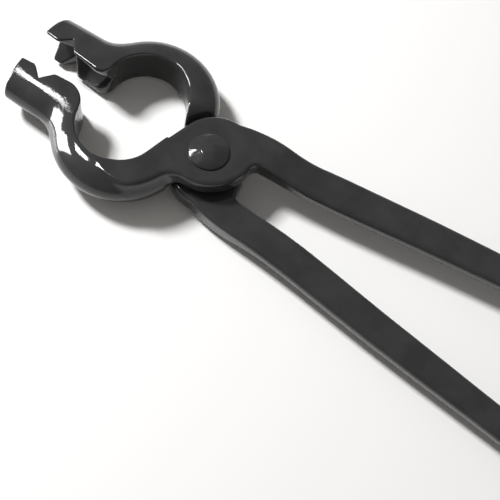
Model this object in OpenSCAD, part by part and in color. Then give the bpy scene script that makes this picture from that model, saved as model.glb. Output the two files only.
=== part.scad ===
// Bolt tongs, shown a little open as they lie on a table.
// Two forged halves cross at one rivet. Both are the same forging: the lower
// half is the upper one turned over about the long axis of the tongs.
// X runs from the rivet to the jaws, Z is the rivet axis, and the underside of
// the rivet's lower head lies at z = 0.

/* [Pivot] */
// Thickness of each half at the rivet
boss_t = 9; // [7:0.5:11]
// Radius of the front edge of each half, about its own centre near the rivet
boss_front_r = 17.3; // [16.5:0.1:18.5]
// Radius of the broad rear edge of each half
boss_back_r = 20.3; // [19.5:0.1:21.5]
// Gap between the two halves where they slide on each other
slide_gap = 0.1; // [0.05:0.05:0.3]
// Angle between the two halves as they lie
open_angle = 10; // [4:0.5:24]

/* [Rivet] */
// Diameter of the rivet's shank
rivet_d = 10; // [7:0.5:11]
// Radial clearance of the shank in both bores
rivet_clear = 0.05; // [0.02:0.01:0.1]
// Diameter of the domed upper head
head_d = 16.8; // [14:0.2:20]
// Height of the domed upper head
head_h = 4; // [2.5:0.1:5]
// Diameter of the hammered flat on the dome
head_flat_d = 6.5; // [4:0.5:9]
// Diameter of the lower head at its face against the tongs
foot_d = 16; // [14:0.2:20]
// Height of the flat lower head
foot_h = 2; // [1.5:0.1:3.5]
// Bevel round the edge of the lower head
foot_bevel = 0.8; // [0.3:0.1:1.2]

/* [Bow] */
// Radius of the space inside the bow
bow_in_r = 17.2; // [15:0.1:22]
// Thickness of the bow across its round back
bow_wall = 11.9; // [10.6:0.1:13]
// Distance from the rivet axis to the inside wall of the bow
bow_neck = 19.4; // [18:0.1:21]
// Distance of the bow's centre from the plane where the jaws meet
bow_rise = 6.9; // [5:0.1:9]
// Radius of the hollow where the bow's back meets the pivot
neck_fillet_r = 9; // [5:0.5:14]

/* [Jaw] */
// Length of the jaw from the inside wall of the bow to its tip
jaw_l = 32.6; // [26:0.2:40]
// Radius of the rounding where the gripping edges turn up into the bow
heel_r = 8.4; // [5:0.1:10]
// Depth of the jaw at its tip, behind the gripping edges
tip_depth = 14.9; // [13:0.1:16]
// Angle, in degrees, by which the end face of the tip leans outwards
tip_lean = 1; // [0:1:12]
// Depth of the jaw where it meets the bow
root_depth = 18.3; // [16.5:0.1:19]
// Half of the gap that stays between the gripping edges when closed
land_gap = 0.1; // [0.05:0.05:0.3]
// Width of each flat gripping edge beside the lengthwise groove
land_w = 0.9; // [0.5:0.1:2.5]
// Depth of the lengthwise V groove
groove_depth = 7.6; // [5:0.1:9]
// Width of the cross notch at the gripping edges
notch_w = 9.6; // [6:0.2:12]
// Depth of the cross notch
notch_depth = 5; // [3:0.1:6.5]
// Distance from the tip to the near corner of the cross notch
notch_from_tip = 6; // [4:0.2:9]

/* [Rein] */
// Distance from the rivet axis to the end of each rein
rein_reach = 312; // [220:1:420]
// Distance from the rivet axis to where the rein leaves its shoulder
rein_start = 41; // [36:1:50]
// Width of the rein where it leaves its shoulder
rein_w = 14.6; // [12:0.1:16]
// Width of the rein at its end
rein_end_w = 9.5; // [8:0.1:12]
// Thickness of the rein
rein_t = 6.6; // [5.5:0.1:8]
// Radius of the rein's long edges
rein_edge_r = 2.2; // [1:0.1:2.6]
// Distance of the rein's middle from the sliding plane
rein_lift = 2.1; // [1:0.1:3.5]
// Sideways distance of the rein's middle from the jaws' plane at its start
rein_side = 12.3; // [11.5:0.1:14]
// Sideways distance of the rein's middle from the jaws' plane at its end
rein_end_side = 19.5; // [15:0.5:26]

/* [Hidden] */
$fn = 96;
eps = 0.01;

slide_z = foot_h + boss_t;
jaw_r = boss_t;
bow_c = [bow_neck + bow_in_r, bow_rise];
bow_out_r = bow_in_r + bow_wall;
wall_x = bow_c[0] + bow_in_r;
tip_x = wall_x + jaw_l;
bore_r = rivet_d / 2 + rivet_clear;

// Centres of the front and rear edges of the pivot, seen from above
front_c = [-2.5, -1.5];
back_c = [2, -5];
// On the far side of the sliding plane each half stays outside a cone round this centre,
// with this radius at the plane and this much more at the table
relief_c = [-4, 2];
relief_r = boss_front_r + 3.6;
relief_run = 5;
// The pivot plate stops this far inside the round back of the bow
rim_inset = 2.2;
// The plate's corner stands this far proud of the bow's inside wall
neck_proud = 0.2;
// Directions, in degrees, at which the outline of the pivot plate changes from one curve to the next
rim_a = 128;
back_end_a = 172;
front_start_a = 262;
front_end_a = 341;
// Where the pivot plate ends and the rein's shoulder begins
shoulder_x = -boss_front_r - 2;
shoulder_in_y = -5.2;
shoulder_out_y = -20;
// The bow begins this many degrees above the heel of the jaw
bow_start_a = 4;
// Thickness of the end slices that the reins are drawn between
slice = 0.1;

function arc(c, r, a0, a1, n) =
    [for (i = [0 : n]) let (a = a0 + (a1 - a0) * i / n) c + r * [cos(a), sin(a)]];
function angle_to(c, p) = atan2(p[1] - c[1], p[0] - c[0]);
// Centre of the circle of radius r that touches two circles from outside,
// on the left going from the first to the second
function touching(c1, r1, c2, r2, r) =
    let (d = norm(c2 - c1), a = r1 + r, b = r2 + r)
    let (u = (a * a - b * b + d * d) / (2 * d), v = sqrt(max(0, a * a - u * u)))
    let (e = (c2 - c1) / d)
    c1 + u * e + v * [-e[1], e[0]];

// Section of the bow: a straight inner wall and a round back
module bow_section() {
    back_x = bow_out_r - jaw_r;
    intersection() {
        union() {
            translate([back_x, 0]) circle(r = jaw_r);
            translate([bow_in_r, -jaw_r]) square([back_x - bow_in_r, 2 * jaw_r]);
        }
        translate([bow_in_r, -2 * jaw_r]) square([bow_wall + eps, 4 * jaw_r]);
    }
}

module bow() {
    translate([bow_c[0], bow_c[1], slide_z])
    rotate([0, 0, bow_start_a])
    rotate_extrude(angle = 180 - bow_start_a) bow_section();
}

// Outline of the pivot plate and the flat that runs into the bow
function plate_outline() =
    let (rim_r = bow_out_r - rim_inset)
    let (f = touching(back_c, boss_back_r, bow_c, rim_r, neck_fillet_r))
    let (f0 = angle_to(f, bow_c), f1 = angle_to(f, back_c))
    let (p0 = angle_to(bow_c, f))
    let (b0 = angle_to(back_c, f))
    concat(
        arc(bow_c, rim_r, rim_a, p0, 8),
        arc(f, neck_fillet_r, f0, f1 - 360 * floor((f1 - f0 + 180) / 360), 8),
        arc(back_c, boss_back_r, b0, back_end_a, 16),
        [[shoulder_x, shoulder_in_y]],
        [[shoulder_x, shoulder_out_y]],
        arc(front_c, boss_front_r, front_start_a, front_end_a, 14),
        [[bow_neck + neck_proud, bow_rise + 2 * neck_proud]],
        arc(bow_c, bow_in_r + rim_inset / 2, 180 - bow_start_a, rim_a, 6)
    );

module plate() {
    translate([0, 0, slide_z + slide_gap / 2])
    linear_extrude(boss_t - slide_gap / 2) polygon(plate_outline());
}

// One end of a rein: four thin rounds at the corners of its section
module rein_end_section(x, y, z, w, t) {
    for (sy = [-1, 1])
        for (sz = [-1, 1])
            translate([x, y + sy * (w / 2 - rein_edge_r), z + sz * (t / 2 - rein_edge_r)])
            rotate([0, 90, 0]) cylinder(r = rein_edge_r, h = 0.1, $fn = 32);
}

module rein() {
    z = slide_z + rein_lift;
    shoulder_w = shoulder_in_y - shoulder_out_y;
    shoulder_y = (shoulder_in_y + shoulder_out_y) / 2;
    // Shoulder between the pivot plate and the rein
    hull() {
        translate([slice, 0, 0])
        rein_end_section(shoulder_x, shoulder_y, slide_z + boss_t / 2, shoulder_w, boss_t);
        rein_end_section(-rein_start, -rein_side, z, rein_w, rein_t);
    }
    // Long taper to the round end
    hull() {
        rein_end_section(-rein_start, -rein_side, z, rein_w, rein_t);
        translate([rein_end_w / 2 - rein_reach, -rein_end_side, z]) {
            cylinder(r = rein_end_w / 2, h = rein_t - 2 * rein_edge_r, center = true, $fn = 32);
            cylinder(r = rein_end_w / 2 - rein_edge_r, h = rein_t, center = true, $fn = 32);
        }
    }
}

// Outline of the jaw from above, with its gripping edge along y = 0 and a rounded heel
module jaw_outline() {
    back_y = root_depth + 2;
    lean = (back_y - land_gap) * tan(tip_lean);
    polygon(concat(
        [[tip_x, land_gap], [tip_x + lean, back_y], [wall_x, back_y]],
        arc([wall_x + heel_r, land_gap + heel_r], heel_r, 180, 270, 12)
    ));
}

// Round-backed jaw: the bow's section carried straight on, slanting in to the tip, cut to its outline
module jaw() {
    slant = atan2(root_depth - tip_depth, jaw_l);
    bar_l = jaw_l + 5;
    front_l = 6;
    margin = 1;
    intersection() {
        translate([tip_x, tip_depth - jaw_r, slide_z])
        rotate([90, 0, 90 - slant])
        translate([0, 0, -bar_l])
        linear_extrude(bar_l + front_l) {
            circle(r = jaw_r);
            translate([-root_depth, -jaw_r]) square([root_depth, 2 * jaw_r]);
        }
        translate([0, 0, slide_z - jaw_r - margin])
        linear_extrude(2 * (jaw_r + margin)) jaw_outline();
    }
}

// V groove along the jaw, with its point at groove_depth
module groove() {
    half_w = jaw_r - land_w;
    past_tip = 4;
    translate([bow_c[0], land_gap, slide_z])
    rotate([90, 0, 90])
    linear_extrude(tip_x - bow_c[0] + past_tip)
    polygon([[-groove_depth, 2 * half_w], [-groove_depth, -2 * half_w], [groove_depth, 0]]);
}

// Cross notch with sloping sides, cut from the gripping edges
module notch() {
    x0 = tip_x - notch_from_tip;
    below = 2;
    run = notch_w / 2 / notch_depth * below;
    margin = 1;
    translate([0, 0, slide_z - jaw_r - margin])
    linear_extrude(2 * (jaw_r + margin))
    polygon([
        [x0 + run, land_gap - below],
        [x0 - notch_w / 2, land_gap + notch_depth],
        [x0 - notch_w - run, land_gap - below]
    ]);
}

// One half with its jaw on the +Y side and its gripping edges in the plane y = 0
module half() {
    difference() {
        union() {
            bow();
            plate();
            jaw();
            rein();
        }
        // Room for the other half's pivot plate
        translate([relief_c[0], relief_c[1], 0])
        cylinder(r1 = relief_r + relief_run, r2 = relief_r, h = slide_z + slide_gap / 2);
        cylinder(r = bore_r, h = slide_z + 2 * boss_t);
        groove();
        notch();
    }
}

module upper_half() {
    color([0.08, 0.08, 0.09])
    rotate([0, 0, open_angle / 2]) half();
}

module lower_half() {
    color([0.1, 0.1, 0.11])
    translate([0, 0, 2 * slide_z])
    rotate([180, 0, 0])
    rotate([0, 0, open_angle / 2]) half();
}

module pivot_rivet() {
    shank_top = foot_h + 2 * boss_t;
    dome_r = (head_d * head_d / 4 + head_h * head_h) / (2 * head_h);
    flat_cut = dome_r - sqrt(dome_r * dome_r - head_flat_d * head_flat_d / 4);
    color([0.12, 0.12, 0.13]) {
        // Flat lower head
        rotate_extrude()
        polygon([
            [0, 0], [foot_d / 2 - foot_bevel, 0], [foot_d / 2, foot_bevel],
            [foot_d / 2, foot_h], [0, foot_h]
        ]);
        cylinder(r = rivet_d / 2, h = shank_top + slide_gap);
        // Domed upper head with a hammered flat
        intersection() {
            translate([0, 0, shank_top + head_h - dome_r]) sphere(r = dome_r);
            translate([0, 0, shank_top + slide_gap / 2])
            cylinder(d = head_d + foot_d, h = head_h - flat_cut);
        }
    }
}

upper_half();
lower_half();
pivot_rivet();
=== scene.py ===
import math
from collections import namedtuple

import bpy
import numpy as np
from mathutils import Matrix, Vector

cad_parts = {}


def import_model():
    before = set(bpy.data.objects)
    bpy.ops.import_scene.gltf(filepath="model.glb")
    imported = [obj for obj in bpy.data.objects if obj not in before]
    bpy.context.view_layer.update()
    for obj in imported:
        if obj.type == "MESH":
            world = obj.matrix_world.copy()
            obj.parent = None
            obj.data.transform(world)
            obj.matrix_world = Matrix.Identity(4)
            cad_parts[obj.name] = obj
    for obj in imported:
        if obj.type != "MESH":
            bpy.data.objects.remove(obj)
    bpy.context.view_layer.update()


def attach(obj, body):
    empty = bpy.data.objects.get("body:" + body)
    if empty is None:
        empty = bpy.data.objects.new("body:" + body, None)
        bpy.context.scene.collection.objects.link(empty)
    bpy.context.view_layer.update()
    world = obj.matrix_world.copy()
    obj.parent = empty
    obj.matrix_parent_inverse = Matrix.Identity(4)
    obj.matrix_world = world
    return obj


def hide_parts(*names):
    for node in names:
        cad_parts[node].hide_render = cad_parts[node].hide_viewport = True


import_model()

# Shared sizes, in millimetres. A half is described closed, with the sliding plane at z = 0 and the
# rivet on the Z axis. PLANE_Z is that plane's height over the table. A half is THICK on each side of
# the plane at the bow, and keeps SLIDE_GAP from it where the other half slides past.
MM = 0.001
PLANE_Z = 11.0
HALF_OPEN = math.radians(5)
THICK = 9.0
SLIDE_GAP = 0.05


def camera():
    """The photograph's view: from above, on the side of the upper half's jaw."""
    data = bpy.data.cameras.new("camera")
    data.sensor_width = 36
    data.lens = 54.72
    data.clip_start = 0.01
    data.clip_end = 20
    obj = bpy.data.objects.new("camera", data)
    bpy.context.scene.collection.objects.link(obj)
    place = Vector((-0.0617, 0.1366, 0.2901))
    target = Vector((-0.0351, 0.0230, 0.0110))
    back = (place - target).normalized()
    above = Vector((0.5292, -0.7672, 0.3626))
    right = above.cross(back).normalized()
    up = back.cross(right)
    turn = Matrix((right, up, back)).transposed()
    obj.matrix_world = Matrix.Translation(place) @ turn.to_4x4()
    bpy.context.scene.camera = obj


# Distance fields: negative inside the metal.


def smin(a, b, k):
    """Union with a fillet of about the size k."""
    h = np.clip(0.5 + 0.5 * (b - a) / k, 0, 1)
    return b + (a - b) * h - k * h * (1 - h)


def smax(a, b, k):
    """Intersection with an edge rounded by about the size k."""
    return -smin(-a, -b, k)


def fade(value, start, stop):
    """Smooth step from 0 to 1 as the value goes from start to stop."""
    t = np.clip((value - start) / (stop - start), 0, 1)
    return t * t * (3 - 2 * t)


def round_corner(u, v, r):
    """Region u < 0 and v < 0 whose corner is rounded by r."""
    past = np.hypot(np.maximum(u + r, 0), np.maximum(v + r, 0))
    return past + np.minimum(np.maximum(u + r, v + r), 0) - r


# Bow: the round back and the round space have their own centres, so the wall is thickest at the neck.
# The space's wall leans by DRAFT, so it is tighter on the side of the pivot plate.
BACK_C, BACK_R = (35.6, 7.3), 29.1
SPACE_C, SPACE_R = (37.2, 6.6), 17.3
DRAFT = 0.05
# How far the round section reaches in from the back, at the bow and at the jaw, and where it changes
CROWN_BOW, CROWN_JAW, CROWN_AT = 11.8, 12.8, (58, 68)
# Jaw: the height of its gripping edges over the plane where they meet, its inside wall, where its back
# starts and how widely that blends into the bow's, its tip, and its back's height, which is measured at
# JAW_BACK_X and gets less towards the tip.
LAND = 0.12
WALL_X = 55.0
JAW_START, JAW_BLEND = 48, 7.0
TIP_X, TIP_SLANT = 86.4, 0.02
JAW_BACK, JAW_BACK_X, JAW_SLOPE = 17.6, 66.6, 0.12
# The V groove starts behind the heel, where it has only a share of its depth and softer edges.
GROOVE_DEPTH, GROOVE_HALF, GROOVE_START = 7.7, 8.1, 50
GROOVE_HEEL, GROOVE_FULL_AT = 0.5, (53, 68)
GROOVE_EDGE, GROOVE_HEEL_EDGE, GROOVE_EDGE_AT = 0.5, 3.3, (56, 62)
NOTCH_X, NOTCH_DEPTH, NOTCH_HALF = 75.6, 5.1, 4.8
# Room for the other half's plate: a low wall at the sliding plane, then a slope up to the outside
RELIEF_C, RELIEF_R = (-4.0, 2.0), 20.9
RELIEF_WALL, RELIEF_RUN, RELIEF_CURVE = 3.5, 5.6, 2.4
# The pivot plate's two round ends, and how far its rim keeps inside the bow's back
REAR_C, REAR_R = (2.0, -5.0), 20.1
FRONT_C, FRONT_R = (-2.5, -1.5), 17.2
RIM_INSET = 2.6
PLATE_EDGE = 2.2
# Rein: distances of its outer and inner edges from the axis of the tongs, by distance from the rivet,
# and how much its top and bottom draw in as it leaves the shoulder.
OUT_AT = [3, 8, 15, 24, 33, 46, 97, 152, 312]
OUT_EDGE = [-17.6, -18.8, -19.6, -19.7, -19.4, -19.6, -21.2, -21.7, -24.2]
IN_AT = [3, 20, 41, 96, 151, 312]
IN_EDGE = [-5.2, -5.4, -5.0, -7.3, -9.5, -14.8]
TOP_DROP, LOW_DROP, SHOULDER_AT = 3.6, 1.25, (20, 45)
REIN_END = 311.6
BORE_R = 5.05
# Rounding of the edges: where the bow's space meets the heel, along the inside of the bow, at the tip,
# at the foot and the top of the relief, and in the notch
HEEL_BLEND, INSIDE_EDGE, TIP_EDGE = 0.6, 1.0, 0.5
RELIEF_FOOT, RELIEF_EDGE, NOTCH_EDGE = 0.5, 0.8, 0.6
# Unevenness of the forged skin
RIPPLE = 0.06
# The two forgings differ a little: the slant of the neck's inside wall, in degrees, the radius of the
# jaw's heel, how far the tip's end leans across its thickness, and how far the rein's two edges stand
# from their common place.
UPPER = {"neck_turn": 20.5, "heel_r": 9.6, "tip_lean": 0.0, "rein_out": 0.9, "rein_in": 0.1}
LOWER = {"neck_turn": 31.0, "heel_r": 5.0, "tip_lean": 0.11, "rein_out": -0.3, "rein_in": 0.4}

Plan = namedtuple("Plan", "outer wall end draft crown jaw tip plate rho room")


def neck_line(turn, inset, low, high):
    """Straight inside wall of the neck, which leaves the bow's space as its tangent."""
    t = math.radians(turn)
    touch = np.array(SPACE_C) + (SPACE_R + inset) * np.array([-math.cos(t), math.sin(t)])
    way = np.array([-math.sin(t), -math.cos(t)])
    return [touch + way * low, touch + way * high]


def arc(c, r, a0, a1, n):
    """Points on a circle, from the angle a0 to a1 in degrees, in n steps."""
    a = np.radians(np.linspace(a0, a1, n + 1))
    return np.stack([c[0] + r * np.cos(a), c[1] + r * np.sin(a)], 1)


def plate_outline(turn):
    """Outline of the pivot plate, from the bow's back round the rivet to the bow's inside wall."""
    rear_c, rim_c = np.array(REAR_C), np.array(BACK_C)
    rim_r, fillet, rim_start, rim_full = BACK_R - RIM_INSET, 9.0, 84, 126
    # Centre of the fillet that touches both the rear circle and the rim
    d = np.hypot(*(rim_c - rear_c))
    a, b = REAR_R + fillet, rim_r + fillet
    u = (a * a - b * b + d * d) / (2 * d)
    v = math.sqrt(a * a - u * u)
    e = (rim_c - rear_c) / d
    centre = rear_c + u * e + v * np.array([-e[1], e[0]])

    def direction(start, stop):
        return math.degrees(math.atan2(*(stop - start)[::-1]))

    to_rim, to_rear = direction(centre, rim_c), direction(centre, rear_c)
    to_rear -= 360 * round((to_rear - to_rim) / 360)
    # The rim starts near the bow's space and widens to its full radius
    a = np.linspace(rim_start, direction(rim_c, centre), 30)
    start_r = SPACE_R + RIM_INSET
    r = start_r + (rim_r - start_r) * fade(a, rim_start, rim_full)
    rim = rim_c + r[:, None] * np.stack([np.cos(np.radians(a)), np.sin(np.radians(a))], 1)
    return np.vstack([
        rim,
        arc(centre, fillet, to_rim, to_rear, 14),
        arc(rear_c, REAR_R, direction(rear_c, centre), 172, 30),
        [(-20.0, -5.9)],
        [(-20.0, -18.6)],
        arc(FRONT_C, FRONT_R, 262, 334, 24),
        neck_line(turn, -0.55, 12, 6),
        neck_line(turn, 0.3, 3, 0),
        arc(SPACE_C, SPACE_R + 0.9, 180 - turn, rim_start, 16),
    ])


def polygon_distance(x, y, points):
    """Signed distance in the plane to a closed outline."""
    best = np.full(np.broadcast(x, y).shape, 1e9)
    inside = np.zeros(best.shape, bool)
    for (x0, y0), (x1, y1) in zip(points, np.roll(points, -1, axis=0)):
        ex, ey = x1 - x0, y1 - y0
        length = ex * ex + ey * ey
        if length < 1e-9:
            continue
        wx, wy = x - x0, y - y0
        t = np.clip((wx * ex + wy * ey) / length, 0, 1)
        best = np.minimum(best, (wx - t * ex) ** 2 + (wy - t * ey) ** 2)
        inside ^= ((y0 > y) != (y1 > y)) & (wx < ex * wy / (ey if ey else 1e-12))
    return np.where(inside, -1, 1) * np.sqrt(best)


def plan_fields(x, y, shape):
    """The parts of the field that depend on x and y alone."""
    disc = np.hypot(x - BACK_C[0], y - BACK_C[1]) - BACK_R
    jaw_back = (y - JAW_BACK + JAW_SLOPE * (x - JAW_BACK_X)) * math.cos(math.atan(JAW_SLOPE))
    t = math.radians(shape["neck_turn"])
    sx, sy = x - SPACE_C[0], y - SPACE_C[1]
    on_neck = (-math.sin(t) * sx - math.cos(t) * sy > 0) & (sx < 0)
    # The space is a little wider towards the jaw, so that it meets the heel's wall
    to_heel = SPACE_R / (WALL_X - SPACE_C[0])
    wide = np.hypot(np.where(sx > 0, sx * to_heel, sx), sy)
    # Below these heights the wall ends, at the neck and at the heel
    neck_end, heel_end = 2.2, 9.0
    return Plan(
        outer=smin(disc, np.maximum(jaw_back, JAW_START - x), JAW_BLEND),
        wall=SPACE_R - np.where(on_neck, math.sin(t) * sy - math.cos(t) * sx, wide),
        end=np.where(x < 40, neck_end, heel_end) - y,
        draft=DRAFT * fade(-sx, -4, 6),
        crown=CROWN_BOW + (CROWN_JAW - CROWN_BOW) * fade(x, *CROWN_AT),
        jaw=round_corner(WALL_X - x, LAND - y, shape["heel_r"]),
        tip=x - TIP_X - TIP_SLANT * y,
        plate=polygon_distance(x, y, plate_outline(shape["neck_turn"])),
        rho=np.hypot(x, y),
        room=np.hypot(x - RELIEF_C[0], y - RELIEF_C[1]),
    )


def knots(t, places, values):
    """Smooth curve through named places: a cubic whose slope at each place follows its neighbours."""
    places, values = np.array(places, float), np.array(values, float)
    slope = np.gradient(values, places)
    t = np.clip(t, places[0], places[-1])
    i = np.clip(np.searchsorted(places, t) - 1, 0, len(places) - 2)
    h = places[i + 1] - places[i]
    u = (t - places[i]) / h
    a, b = values[i], values[i + 1]
    return (a + (b - a) * u * u * (3 - 2 * u)
            + h * slope[i] * u * (1 - u) ** 2 - h * slope[i + 1] * u * u * (1 - u))


def rein_low(x):
    """Height of the lower side of the plate and the rein, which drops past the shoulder."""
    return SLIDE_GAP - LOW_DROP * fade(-x, *SHOULDER_AT)


def rein_field(x, y, z, shape):
    """The long tapering rein with rounded edges, and its shoulder."""
    s = fade(-x, *SHOULDER_AT)
    # The forgings differ only between the shoulder and the end
    spread = fade(-x, 30, 55) * fade(x, -300, -180)
    out = knots(-x, OUT_AT, OUT_EDGE) - shape["rein_out"] * spread
    ins = knots(-x, IN_AT, IN_EDGE) + shape["rein_in"] * spread
    top, low = THICK - TOP_DROP * s, rein_low(x)
    edge_r = 1.5 + 0.8 * s
    yc, half_w = (out + ins) / 2, (ins - out) / 2
    zc, half_h = (top + low) / 2, (top - low) / 2
    end = half_w - REIN_END
    side = np.where(x < end, np.hypot(x - end, y - yc), np.abs(y - yc)) - half_w
    bar = round_corner(side, np.abs(z - zc) - half_h, edge_r)
    return np.maximum(bar, x + 4)


def ripple(x, y, z):
    """Slight unevenness of the forged skin, from 0 to 1."""
    a = np.sin(x / 7.3 + 1.3 * np.sin(y / 5.1) + 0.7) * np.sin(y / 6.1 + 0.9 * np.sin(z / 4.3 + x / 17))
    b = np.sin(x / 3.1 + 2.1 * np.sin(z / 3.7 + y / 9.1)) * np.sin(z / 2.9 + y / 3.4 + 1.1)
    return 0.5 + 0.35 * a + 0.15 * b


def half_field(x, y, z, shape, plan=None):
    """One forging, lying on the positive side of the sliding plane at the rivet."""
    p = plan_fields(x, y, shape) if plan is None else plan
    # Bow and jaw: straight inside, round at the back, with room for the other half's plate
    wall = p.wall - p.draft * (z + THICK)
    inner = smin(np.maximum(wall, p.end), p.jaw, HEEL_BLEND)
    back = np.hypot(np.maximum(p.outer + p.crown, 0) * (THICK / p.crown), z) - THICK
    body = smax(inner, back, INSIDE_EDGE)
    body = smax(body, p.tip + shape["tip_lean"] * (z + THICK), TIP_EDGE)
    slope = np.clip((-z - RELIEF_WALL) / (THICK - RELIEF_WALL), 0, 1.2) ** RELIEF_CURVE
    step = RELIEF_R + RELIEF_RUN * slope
    body = smax(body, -smax((p.room - step) * 0.45, z - SLIDE_GAP, RELIEF_FOOT), RELIEF_EDGE)
    # Pivot plate and rein, filleted into the body. The fillets are wide towards the bow's back, and
    # narrow by its inside wall and on the rein's outer side.
    middle, half = (THICK + SLIDE_GAP) / 2, (THICK - SLIDE_GAP) / 2
    flat = round_corner(p.plate, np.abs(z - middle) - half, PLATE_EDGE)
    metal = smin(body, flat, 0.4 + 1.6 * fade(p.outer, -12, -7) * fade(-inner, 2, 6))
    metal = smin(metal, rein_field(x, y, z, shape), 0.4 + 1.2 * fade(y, -14, -10))
    # Flat faces: the sliding face and the two outer ones
    sliding = np.where(x < 0, rein_low(x) - z, np.where(p.room < RELIEF_R - 1, SLIDE_GAP - z, -THICK))
    metal = np.maximum(np.maximum(metal, sliding), np.abs(z) - THICK)
    # Cuts: groove along the jaw, notch across it, and the rivet's bore. The factors make the slanting
    # faces into about true distances.
    deep = GROOVE_DEPTH * (GROOVE_HEEL + (1 - GROOVE_HEEL) * fade(x, *GROOVE_FULL_AT))
    groove = np.maximum(np.abs(z) - (deep - y) * GROOVE_HALF / GROOVE_DEPTH, GROOVE_START - x) * 0.7
    softer = (GROOVE_HEEL_EDGE - GROOVE_EDGE) * fade(-x, -GROOVE_EDGE_AT[1], -GROOVE_EDGE_AT[0])
    metal = smax(metal, -groove, GROOVE_EDGE + softer)
    notch = (y - NOTCH_DEPTH + np.abs(x - NOTCH_X) * NOTCH_DEPTH / NOTCH_HALF) * 0.69
    metal = smax(metal, -notch, NOTCH_EDGE)
    metal = np.maximum(metal, BORE_R - p.rho)
    # The skin is uneven, but not round the rivet and on the gripping edges
    off_rivet, off_edges = (p.rho - 9) / 4, np.where(x < GROOVE_START, 1, (y - LAND) / 1.5)
    away = np.clip(off_rivet, 0, 1) * np.clip(off_edges, 0, 1)
    return metal + RIPPLE * ripple(x, y, z) * away


def mesh_of(field, xs, ys, zs, grid):
    """Closed quad mesh of the surface where the field is zero, with one vertex per crossed cell."""
    inside = grid < 0
    count = sum(
        inside[i : i - 1 or None, j : j - 1 or None, k : k - 1 or None].astype(np.int8)
        for i in (0, 1) for j in (0, 1) for k in (0, 1)
    )
    cells = np.argwhere((count > 0) & (count < 8))
    number = np.full(count.shape, -1, np.int64)
    number[tuple(cells.T)] = np.arange(len(cells))
    # Each vertex starts at the mean of the places where the surface crosses its cell's edges
    axes = (xs, ys, zs)
    total = np.zeros((len(cells), 3))
    hits = np.zeros(len(cells))
    for axis in range(3):
        others = [a for a in range(3) if a != axis]
        for p in (0, 1):
            for q in (0, 1):
                start = cells.copy()
                start[:, others[0]] += p
                start[:, others[1]] += q
                stop = start.copy()
                stop[:, axis] += 1
                s0, s1 = grid[tuple(start.T)], grid[tuple(stop.T)]
                cross = (s0 < 0) != (s1 < 0)
                t = np.where(cross, s0 / np.where(cross, s0 - s1, 1), 0)
                place = np.stack([axes[a][start[:, a]] for a in range(3)], 1)
                place[:, axis] += t * (axes[axis][stop[:, axis]] - axes[axis][start[:, axis]])
                total += place * cross[:, None]
                hits += cross
    verts = total / hits[:, None]
    # Each crossed edge of the grid gives a face between the four cells round it
    faces = []
    for axis in range(3):
        n0 = np.take(inside, range(0, inside.shape[axis] - 1), axis)
        n1 = np.take(inside, range(1, inside.shape[axis]), axis)
        edge = np.argwhere(n0 != n1)
        b, c = [(axis + 1) % 3, (axis + 2) % 3]
        quad = []
        for db, dc in ((-1, -1), (0, -1), (0, 0), (-1, 0)):
            cell = edge.copy()
            cell[:, b] += db
            cell[:, c] += dc
            quad.append(number[tuple(cell.T)])
        quad = np.stack(quad, 1)
        turned = n1[tuple(edge.T)]
        quad[turned] = quad[turned][:, ::-1]
        faces.append(quad)
    # Three steps bring every vertex onto the surface itself
    for _ in range(3):
        verts = drawn_in(field, verts)
    return verts, np.vstack(faces)


def drawn_in(field, verts):
    """The vertices, each moved along the field's slope onto its zero surface."""
    h, longest, least = 0.02, 0.3, 0.2
    x, y, z = verts.T
    value = field(x, y, z)
    beside = (field(x + h, y, z), field(x, y + h, z), field(x, y, z + h))
    slope = np.stack([v - value for v in beside], 1) / h
    size = np.maximum((slope**2).sum(1), least)
    return verts - slope * np.clip(value / size, -longest, longest)[:, None]


def half_mesh(shape):
    """Mesh of one forging, on a grid that is coarser along the plain length of the rein."""
    fine, coarse, rein_from, rein_to = 0.5, 1.6, -REIN_END + 8, -48
    xs = np.concatenate([
        np.arange(-REIN_END - 2, rein_from, fine),
        np.arange(rein_from, rein_to, coarse),
        np.arange(rein_to, TIP_X + 4, fine),
    ])
    # The grid reaches just past the metal on every side
    ys = np.arange(-27, 38.5, fine)
    zs = np.arange(-THICK - 0.7, THICK + 0.8, fine)
    x, y, z = xs[:, None, None], ys[None, :, None], zs[None, None, :]
    grid = half_field(x, y, z, shape, plan_fields(x, y, shape))
    return mesh_of(lambda x, y, z: half_field(x, y, z, shape), xs, ys, zs, grid)


def add_mesh(name, verts, faces, body, node):
    """Smooth object from arrays in millimetres, which rides a body and replaces a node of the frame."""
    data = bpy.data.meshes.new(name)
    data.vertices.add(len(verts))
    data.vertices.foreach_set("co", (verts * MM).astype(np.float32).ravel())
    data.loops.add(faces.size)
    data.loops.foreach_set("vertex_index", faces.astype(np.int32).ravel())
    data.polygons.add(len(faces))
    data.polygons.foreach_set("loop_start", np.arange(0, faces.size, faces.shape[1], dtype=np.int32))
    data.update(calc_edges=True)
    data.validate()
    data.shade_smooth()
    obj = bpy.data.objects.new(name, data)
    bpy.context.scene.collection.objects.link(obj)
    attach(obj, body)
    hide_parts(node)
    return obj


def turned(verts, angle):
    """The vertices, turned about the rivet's axis."""
    c, s = math.cos(angle), math.sin(angle)
    return verts @ np.array([[c, s, 0], [-s, c, 0], [0, 0, 1]])


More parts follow.
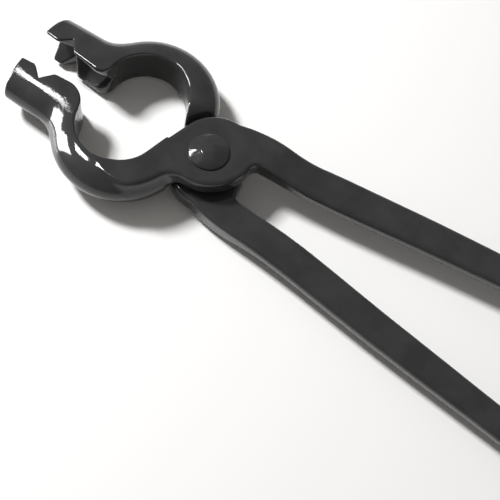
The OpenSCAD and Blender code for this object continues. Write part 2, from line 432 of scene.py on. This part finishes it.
def rivet_mesh():
    """Lower head, shank and hammered dome as one turned piece, with blows flattening the dome."""
    foot_r, shank_r, head_r, head_h, around = 8.0, 5.0, 8.4, 3.75, 128
    low, top = -THICK - 2.0, THICK + 0.07
    rim_h, dome_h = 0.4, head_h - 0.5
    profile = [(0.0, low), (4.0, low), (foot_r - 1.1, low), (foot_r - 0.5, low + 0.2)]
    profile += [(foot_r - 0.12, low + 0.7), (foot_r, low + 1.2), (foot_r, -THICK - 0.25)]
    profile += [(foot_r - 0.2, -THICK), (shank_r, -THICK)]
    profile += [(shank_r, z) for z in np.linspace(-THICK + 1, top - 0.5, 8)] + [(shank_r, top)]
    profile += [(head_r - 0.35, top), (head_r - 0.1, top + 0.12), (head_r, top + rim_h)]
    dome_r = (head_r**2 + dome_h**2) / (2 * dome_h)
    for share in np.linspace(1, 0, 30)[1:]:
        r = head_r * share
        profile.append((r, top + head_h - dome_r + math.sqrt(dome_r**2 - r * r)))
    profile = np.array(profile)
    turn = np.linspace(0, 2 * math.pi, around, endpoint=False)
    ring = np.stack([np.cos(turn), np.sin(turn)], 1)
    verts = np.concatenate([
        np.concatenate([ring * r, np.full((around, 1), z)], 1) for r, z in profile[1:-1]
    ] + [[(0, 0, profile[0][1]), (0, 0, profile[-1][1])]])

    # Each blow: where it lands, its height there, and how it slopes along x and y
    blows = [
        (0.3, -0.4, 3.38, 0.02, 0.01),
        (2.4, -0.6, 3.12, 0.20, -0.04),
        (-2.3, 2.2, 3.05, -0.20, 0.19),
        (-2.4, -1.9, 3.0, -0.24, -0.17),
        (1.7, -2.7, 3.07, 0.13, -0.25),
        (4.6, -0.4, 2.3, 0.45, -0.04),
        (-4.7, 0.4, 2.25, -0.46, 0.05),
        (2.8, 5.9, 1.55, 0.26, 0.55),
        (-0.4, -4.8, 2.2, -0.05, -0.48),
    ]
    up = verts[:, 2] > top + rim_h + 0.1
    x, y, z = verts[up].T
    for bx, by, h, sx, sy in blows:
        z = smin(z, top + h - sx * (x - bx) - sy * (y - by), 0.18)
    verts[up, 2] = z

    rows = len(profile) - 2
    i = np.arange(around)
    j = (i + 1) % around
    bands = [
        np.stack([k * around + i, k * around + j, (k + 1) * around + j, (k + 1) * around + i], 1)
        for k in range(rows - 1)
    ]
    foot, peak, last = rows * around, rows * around + 1, (rows - 1) * around
    underside = np.stack([np.full(around, foot), j, i], 1)
    crown = np.stack([last + i, last + j, np.full(around, peak)], 1)
    return verts, [*np.vstack(bands), *underside, *crown]


def add_rivet():
    """The rivet, fixed in the lower half."""
    verts, faces = rivet_mesh()
    verts = verts + [0, 0, PLANE_Z]
    data = bpy.data.meshes.new("rivet")
    data.from_pydata([tuple(v * MM) for v in verts], [], [tuple(map(int, f)) for f in faces])
    data.validate()
    data.shade_smooth()
    obj = bpy.data.objects.new("rivet", data)
    bpy.context.scene.collection.objects.link(obj)
    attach(obj, "lower_half")
    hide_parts("pivot_rivet")
    return obj


class Nodes:
    """Short calls for building a material's nodes."""

    def __init__(self, name):
        self.material = bpy.data.materials.new(name)
        self.material.use_nodes = True
        self.tree = self.material.node_tree
        self.shader = self.tree.nodes["Principled BSDF"]
        self.coords = self.tree.nodes.new("ShaderNodeTexCoord").outputs["Object"]

    def add(self, kind, settings=None, **inputs):
        node = self.tree.nodes.new("ShaderNode" + kind)
        for key, value in (settings or {}).items():
            setattr(node, key, value)
        for key, value in inputs.items():
            socket = node.inputs[key.replace("_", " ")]
            if hasattr(value, "is_output"):
                self.tree.links.new(value, socket)
            else:
                socket.default_value = value
        return node

    def noise(self, scale, detail=2.0, roughness=0.5):
        node = self.add("TexNoise", Vector=self.coords, Scale=scale, Detail=detail, Roughness=roughness)
        return node.outputs["Fac"]

    def ramp(self, value, low, high, out_low=0.0, out_high=1.0):
        spans = {"From_Min": low, "From_Max": high, "To_Min": out_low, "To_Max": out_high}
        return self.add("MapRange", {"clamp": True}, Value=value, **spans).outputs["Result"]

    def mix(self, factor, a, b):
        node = self.tree.nodes.new("ShaderNodeMix")
        node.data_type = "RGBA"
        # Sockets 6 and 7 and output 2 are the node's colours
        self.tree.links.new(factor, node.inputs[0])
        node.inputs[6].default_value = a
        node.inputs[7].default_value = b
        return node.outputs[2]

    def bump(self, height, strength, distance, normal=None):
        inputs = {"Height": height, "Strength": strength, "Distance": distance}
        if normal is not None:
            inputs["Normal"] = normal
        return self.add("Bump", **inputs).outputs["Normal"]

    def link(self, value, socket):
        self.tree.links.new(value, self.shader.inputs[socket])


def lacquer(name, shift, dents=1.0):
    """Black lacquer over forged steel: glossy, a little uneven, with fine dust and pinholes."""
    n = Nodes(name)
    moved = n.add("Mapping", Vector=n.coords)
    moved.inputs["Location"].default_value = shift
    n.coords = moved.outputs["Vector"]
    broad = n.noise(90, 3)
    skin = n.noise(420, 3, 0.55)
    fine = n.noise(2600, 2, 0.5)
    grain = n.noise(1300, 3, 0.6)
    patch = n.ramp(n.noise(38, 2), 0.54, 0.66)
    tone = n.mix(n.ramp(broad, 0.35, 0.68), (0.0245, 0.0245, 0.0257, 1), (0.036, 0.0358, 0.0372, 1))
    n.link(tone, "Base Color")
    n.link(n.ramp(skin, 0.3, 0.7, 0.34, 0.46), "Roughness")
    normal = n.bump(broad, 0.06 * dents, 0.0008)
    normal = n.bump(skin, 0.05 * dents, 0.0005, normal)
    normal = n.bump(fine, 0.05, 0.00012, normal)
    dust = n.add("Math", {"operation": "MULTIPLY"})
    n.tree.links.new(grain, dust.inputs[0])
    n.tree.links.new(patch, dust.inputs[1])
    normal = n.bump(dust.outputs[0], 0.22, 0.0003, normal)
    n.link(normal, "Normal")
    n.tree.links.new(normal, n.shader.inputs["Coat Normal"])
    # Nearly all of the gloss is the clear coat's, so the highlights are crisp
    n.shader.inputs["Specular IOR Level"].default_value = 0.04
    n.shader.inputs["Coat Weight"].default_value = 1.0
    n.shader.inputs["Coat Roughness"].default_value = 0.045
    n.shader.inputs["Coat IOR"].default_value = 1.5
    return n.material


def floor():
    """Plain pale table that catches the shadows."""
    reach = 1.4
    data = bpy.data.meshes.new("floor")
    corners = [(-reach, -reach, 0), (reach, -reach, 0), (reach, reach, 0), (-reach, reach, 0)]
    data.from_pydata(corners, [], [(0, 1, 2, 3)])
    obj = bpy.data.objects.new("floor", data)
    bpy.context.scene.collection.objects.link(obj)
    n = Nodes("floor")
    n.shader.inputs["Base Color"].default_value = (0.96, 0.96, 0.955, 1)
    n.shader.inputs["Roughness"].default_value = 0.35
    n.shader.inputs["Specular IOR Level"].default_value = 0.2
    data.materials.append(n.material)


def lamp(name, azimuth, elevation, width, height, radiance, gloss_only=False):
    """Soft box that faces the bows and gives either light and shadow, or only highlights.

    Azimuth, counted from +X towards +Y, and elevation are in degrees, the sizes in metres.
    """
    distance, target = 1.2, (0.03, 0.0, 0.01)
    data = bpy.data.lights.new(name, "AREA")
    data.shape = "RECTANGLE"
    data.size = width
    data.size_y = height
    data.energy = radiance * math.pi * width * height
    obj = bpy.data.objects.new(name, data)
    bpy.context.scene.collection.objects.link(obj)
    a, e = math.radians(azimuth), math.radians(elevation)
    way = Vector((math.cos(e) * math.cos(a), math.cos(e) * math.sin(a), math.sin(e)))
    obj.location = Vector(target) + way * distance
    obj.rotation_mode = "QUATERNION"
    obj.rotation_quaternion = way.to_track_quat("Z", "Y")
    obj.visible_diffuse = not gloss_only
    obj.visible_glossy = gloss_only


def world():
    """White for the camera, and a softer grey room for reflections and for fill light."""
    w = bpy.data.worlds.new("room")
    bpy.context.scene.world = w
    w.use_nodes = True
    tree = w.node_tree
    tree.nodes.clear()
    path = tree.nodes.new("ShaderNodeLightPath")
    out = tree.nodes.new("ShaderNodeOutputWorld")

    def background(color, strength):
        node = tree.nodes.new("ShaderNodeBackground")
        node.inputs["Color"].default_value = color
        node.inputs["Strength"].default_value = strength
        return node.outputs[0]

    def choose(which, no, yes):
        node = tree.nodes.new("ShaderNodeMixShader")
        tree.links.new(path.outputs[which], node.inputs[0])
        tree.links.new(no, node.inputs[1])
        tree.links.new(yes, node.inputs[2])
        return node.outputs[0]

    fill = background((1.0, 0.96, 0.91, 1), 0.22)
    room = background((0.97, 0.98, 1.0, 1), 0.26)
    white = background((1, 1, 1, 1), 1.0)
    seen = choose("Is Camera Ray", choose("Is Glossy Ray", fill, room), white)
    tree.links.new(seen, out.inputs["Surface"])


bpy.context.scene.view_settings.view_transform = "Standard"
camera()
world()
lamp("key", -5, 46.5, 0.20, 0.24, 126.0)
lamp("high_box", 4, 63.5, 0.20, 0.20, 52.0, gloss_only=True)
lamp("side_box", 18, 25, 0.44, 0.84, 27.0, gloss_only=True)
floor()

# Each forging with its own shape, the axes that turn it over, and where its lacquer's pattern starts
lift = np.array([0, 0, PLANE_Z])
halves = (
    ("upper_half", UPPER, np.array([1, 1, 1]), (0, 0, 0)),
    ("lower_half", LOWER, np.array([1, -1, -1]), (0.31, 0.17, 0.05)),
)
for name, shape, flip, shift in halves:
    verts, faces = half_mesh(shape)
    piece = add_mesh(name + "_forging", turned(verts, HALF_OPEN) * flip + lift, faces, name, name)
    piece.data.materials.append(lacquer(name + "_lacquer", shift))
add_rivet().data.materials.append(lacquer("rivet_lacquer", (0.4, 0.1, 0.2), dents=2.5))
